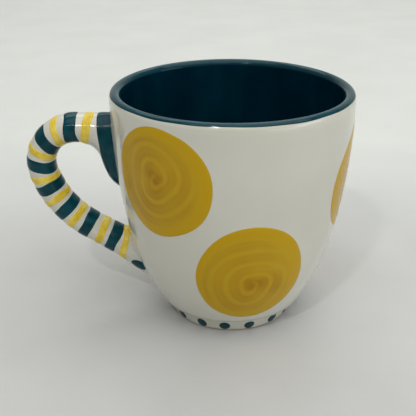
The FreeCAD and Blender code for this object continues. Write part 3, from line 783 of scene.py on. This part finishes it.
def ochre_glaze():
    """Yellow-ochre glaze: the brush's turns darken it where it is thick, and its rim is purer yellow."""
    glaze = Recipe("ochre_spot")
    thick = glaze.carried("thick")
    rim = glaze.carried("rim")
    drag = glaze.streaks(46.0, 4.0)
    mottle = glaze.noise(120.0, 4.0)
    load = glaze.math("ADD", thick, glaze.math("MULTIPLY", glaze.math("SUBTRACT", drag, 0.5), 0.55))
    load = glaze.math("ADD", load, glaze.math("MULTIPLY", glaze.math("SUBTRACT", mottle, 0.5), 0.5))
    colour = glaze.mix(glaze.span(load, 0.05, 1.05), (0.53, 0.33, 0.012, 1), (0.37, 0.18, 0.0008, 1))
    patches = glaze.span(glaze.noise(38.0, 3.0), 0.25, 0.75, 0.45, 1.0)
    colour = glaze.mix(glaze.math("MULTIPLY", rim, patches), colour, (0.55, 0.33, 0.00005, 1))
    peel = glaze.bump(glaze.noise(420.0, 2.0), 0.00002, strength=0.5)
    ridges = glaze.bump(drag, 0.00012, peel, 0.6)
    roughness = glaze.span(glaze.noise(70.0, 3.0), 0.3, 0.7, 0.12, 0.22)
    return glaze.gloss(colour, roughness, ridges, coat=0.05)


OCHRE = ochre_glaze()


def swell(turn):
    """Rises from 0 to 1 and falls back once around a turn."""
    return 0.5 - 0.5 * math.cos(turn)


def spot(number, azimuth, height, swirl, start, hand, outline):
    """One spiral spot. The swirl is its middle's offset from the spot's, and hand is the way it turns."""
    pull_out, pull_turn, oval_size, oval_turn, notch_turn = outline
    edge_wander = wander(6, 0.012)
    wobble = wander(3, 1.6 * MM)
    load_wander = wander(3, 0.42)
    thick, rim, along = [], [], []
    azimuth = math.radians(azimuth)

    def edge_reach(turn):
        """The outline's distance from the middle, as a share of the spot's radius, with its small notch."""
        pull = 1 + edge_wander(turn) + pull_out * math.cos(turn - pull_turn)
        pull += oval_size * math.cos(2 * (turn - oval_turn))
        if math.cos(turn - notch_turn) <= 0:
            return pull
        across = math.sin(turn - notch_turn)
        return pull - NOTCH * ease(across, 0.0, 0.35) * (1 - ease(across, 0.35, 0.9))

    def place(share, turn, level):
        reach = SPOT_RADIUS * share * edge_reach(turn)
        across, up = reach * math.cos(turn), reach * math.sin(turn)
        away_x, away_y = across - swirl[0], up - swirl[1]
        away, around = math.hypot(away_x, away_y) / STROKE, math.atan2(away_y, away_x)
        phase = away - hand * (around - start) / math.tau
        phase += wobble(around) / STROKE * min(away, 1.0)
        part = phase % 1.0
        ridge = math.exp(-((part - 0.5) / 0.14) ** 2)
        body = 0.62 * swell(math.tau * (part + 0.12)) + 0.38 * swell(2 * math.tau * part + 1.3)
        strength = 0.35 + 0.65 * ease(0.45 + load_wander(around + 0.25 * phase), 0.0, 1.0)
        curl = 0.55 * math.exp(-(away / 0.62) ** 2)
        load = body * strength * (1 - 0.35 * share) + curl
        wide = 0.20 * (1 + math.cos(turn - pull_turn)) / 2
        rim_share = ease(share, 0.84 - wide, 0.97 - 0.5 * wide)
        thick.append(load * (1 - rim_share))
        rim.append(rim_share)
        along.append(away * 0.55)
        lift = SPOT_FILM + 0.05 * MM * load + 0.035 * MM * ridge * strength + 0.04 * MM * rim_share
        lift *= math.sqrt(max(1 - share ** 14, 0.0))
        turned = math.asin(min(across / wall_radius(height + up), 1.0))
        return fired(wall_point(azimuth + turned, height + up, lift if on_top(level) else -UNDER))

    piece = daub(f"yellow_spot_{number}_painted", OCHRE, place, SPOT_RINGS, SPOT_STEPS)
    for name, values in (("thick", thick), ("rim", rim)):
        data = piece.data.attributes.new(name, "FLOAT", "POINT")
        data.data.foreach_set("value", values)
    piece.data.attributes["along"].data.foreach_set("value", along)
    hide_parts(f"yellow_spot_{number}")


# Azimuth in degrees from -Y towards +X, height, the swirl's offset, where its stroke starts, which way it
# turns, and the outline: how far it pulls out and where, how oval it is and where, and where its notch is.
SPOTS = (
    (-35.0, 73.5 * MM, (0.0, 2.4 * MM), 0.6, 1, (0.0, 0.0, 0.034, 0.95, 0.9)),
    (10.5, 35.0 * MM, (1.0 * MM, -3.0 * MM), 2.4, -1, (0.02, 0.3, -0.055, 0.0, 4.0)),
    (83.0, 66.0 * MM, (-1.5 * MM, 1.0 * MM), 1.1, 1, (0.01, 2.0, 0.015, 1.0, 2.0)),
    (133.0, 33.0 * MM, (1.0 * MM, 1.5 * MM), 4.2, -1, (0.015, 1.0, 0.015, 2.3, 5.0)),
    (180.0, 72.0 * MM, (-1.0 * MM, -1.0 * MM), 3.3, 1, (0.01, 4.0, 0.02, 0.2, 1.2)),
    (-135.0, 40.0 * MM, (1.5 * MM, 0.5 * MM), 5.1, 1, (0.02, 5.0, 0.012, 1.9, 3.1)),
)
for number, row in enumerate(SPOTS, start=1):
    spot(number, *row)

# ---------------------------------------------------------------------------------------------------------
# Table and backdrop. The mug stands on a plain pale table that runs back to a pale wall. Neither is part
# of the mug.
# ---------------------------------------------------------------------------------------------------------


def table_top():
    """Pale grey cloth-covered table whose colour is painted lighter towards the back. This is painted light,
    standing in for the brighter light behind the mug.
    """
    cloth = Recipe("pale_table")
    cloud = cloth.span(cloth.noise(14.0, 6.0), 0.35, 0.65)
    near = cloth.mix(cloud, (0.545, 0.55, 0.545, 1), (0.585, 0.59, 0.585, 1))
    # Painted light: the far tone is lighter, standing in for brighter light behind the mug, and the table's
    # colour turns to it from 5 to 22 cm back.
    far = cloth.mix(cloud, (0.70, 0.71, 0.685, 1), (0.735, 0.745, 0.72, 1))
    depth = cloth.add("ShaderNodeSeparateXYZ", {0: cloth.coords}).outputs["Y"]
    colour = cloth.mix(cloth.span(depth, 0.05, 0.22), near, far)
    nap = cloth.bump(cloth.noise(900.0, 3.0), 0.0002, strength=0.25)
    cloth.feed(cloth.shader.inputs["Base Color"], colour)
    cloth.feed(cloth.shader.inputs["Normal"], nap)
    cloth.shader.inputs["Roughness"].default_value = 0.85
    return cloth.material


def flat(name, size, place, tilt, material):
    bm = bmesh.new()
    bmesh.ops.create_grid(bm, x_segments=2, y_segments=2, size=0.5)
    bmesh.ops.scale(bm, vec=(size[0], size[1], 1), verts=bm.verts)
    bmesh.ops.rotate(bm, cent=(0, 0, 0), matrix=Matrix.Rotation(tilt, 3, "X"), verts=bm.verts)
    bmesh.ops.translate(bm, vec=place, verts=bm.verts)
    mesh = bpy.data.meshes.new(name)
    bm.to_mesh(mesh)
    bm.free()
    mesh.materials.append(material)
    piece = bpy.data.objects.new(name, mesh)
    bpy.context.scene.collection.objects.link(piece)


TABLE = table_top()
flat("table", (4.0, 3.2), (0, -0.3, 0), 0.0, TABLE)
flat("backdrop", (4.0, 2.0), (0, 1.3, 1.0), math.pi / 2, TABLE)

# ---------------------------------------------------------------------------------------------------------
# Studio light. Wide soft panels light the mug from above, the right and behind, and one small bright panel
# at the left front puts the short streaks on the glaze. The rest is even light from all around.
# ---------------------------------------------------------------------------------------------------------


def panel(name, place, aim, size, watts, colour):
    light = bpy.data.lights.new(name, "AREA")
    light.shape = "RECTANGLE"
    light.size, light.size_y = size
    light.energy = watts
    light.color = colour
    lamp = bpy.data.objects.new(name, light)
    lamp.location = place
    lamp.rotation_euler = (Vector(aim) - Vector(place)).to_track_quat("-Z", "Y").to_euler()
    bpy.context.scene.collection.objects.link(lamp)


panel("ceiling_panel", (0.26, -0.25, 1.3), (0, 0, 0.03), (1.7, 1.7), 13.8, (1.0, 0.99, 0.96))
panel("side_fill", (1.0, -0.35, 0.22), (0, 0, 0.03), (0.5, 0.3), 1.3, (0.90, 0.96, 1.0))
panel("low_fill", (0.75, -0.65, 0.09), (0, 0, 0.01), (0.7, 0.16), 0.55, (0.97, 0.98, 1.0))
panel("back_light", (-0.1, 0.95, 1.2), (0, 0.6, 0), (1.4, 0.6), 5.0, (1.0, 1.0, 0.98))
panel("window", (-0.24, -0.75, 0.87), (-0.05, 0, 0.08), (0.07, 0.04), 1.9, (1.0, 0.99, 0.97))

world = bpy.data.worlds.new("studio")
world.use_nodes = True
world.node_tree.nodes["Background"].inputs["Color"].default_value = (0.80, 0.83, 0.82, 1)
world.node_tree.nodes["Background"].inputs["Strength"].default_value = 0.35
bpy.context.scene.world = world
bpy.context.scene.view_settings.view_transform = "Standard"

# ---------------------------------------------------------------------------------------------------------
# Camera. It looks down at the mug from a little above, close by, with the handle to its left.
# ---------------------------------------------------------------------------------------------------------

camera_data = bpy.data.cameras.new("camera")
camera_data.lens = 66.03
camera_data.sensor_width = 36.0
camera = bpy.data.objects.new("camera", camera_data)
camera.location = (0.0, -0.3024, 0.1831)
YAW, PITCH, ROLL = -0.033, 0.426, -0.0042
camera.rotation_euler = (Matrix.Rotation(-YAW, 3, "Z") @ Matrix.Rotation(math.pi / 2 - PITCH, 3, "X")
                         @ Matrix.Rotation(ROLL, 3, "Z")).to_euler()
camera_data.clip_start = 0.01
bpy.context.scene.collection.objects.link(camera)
bpy.context.scene.camera = camera
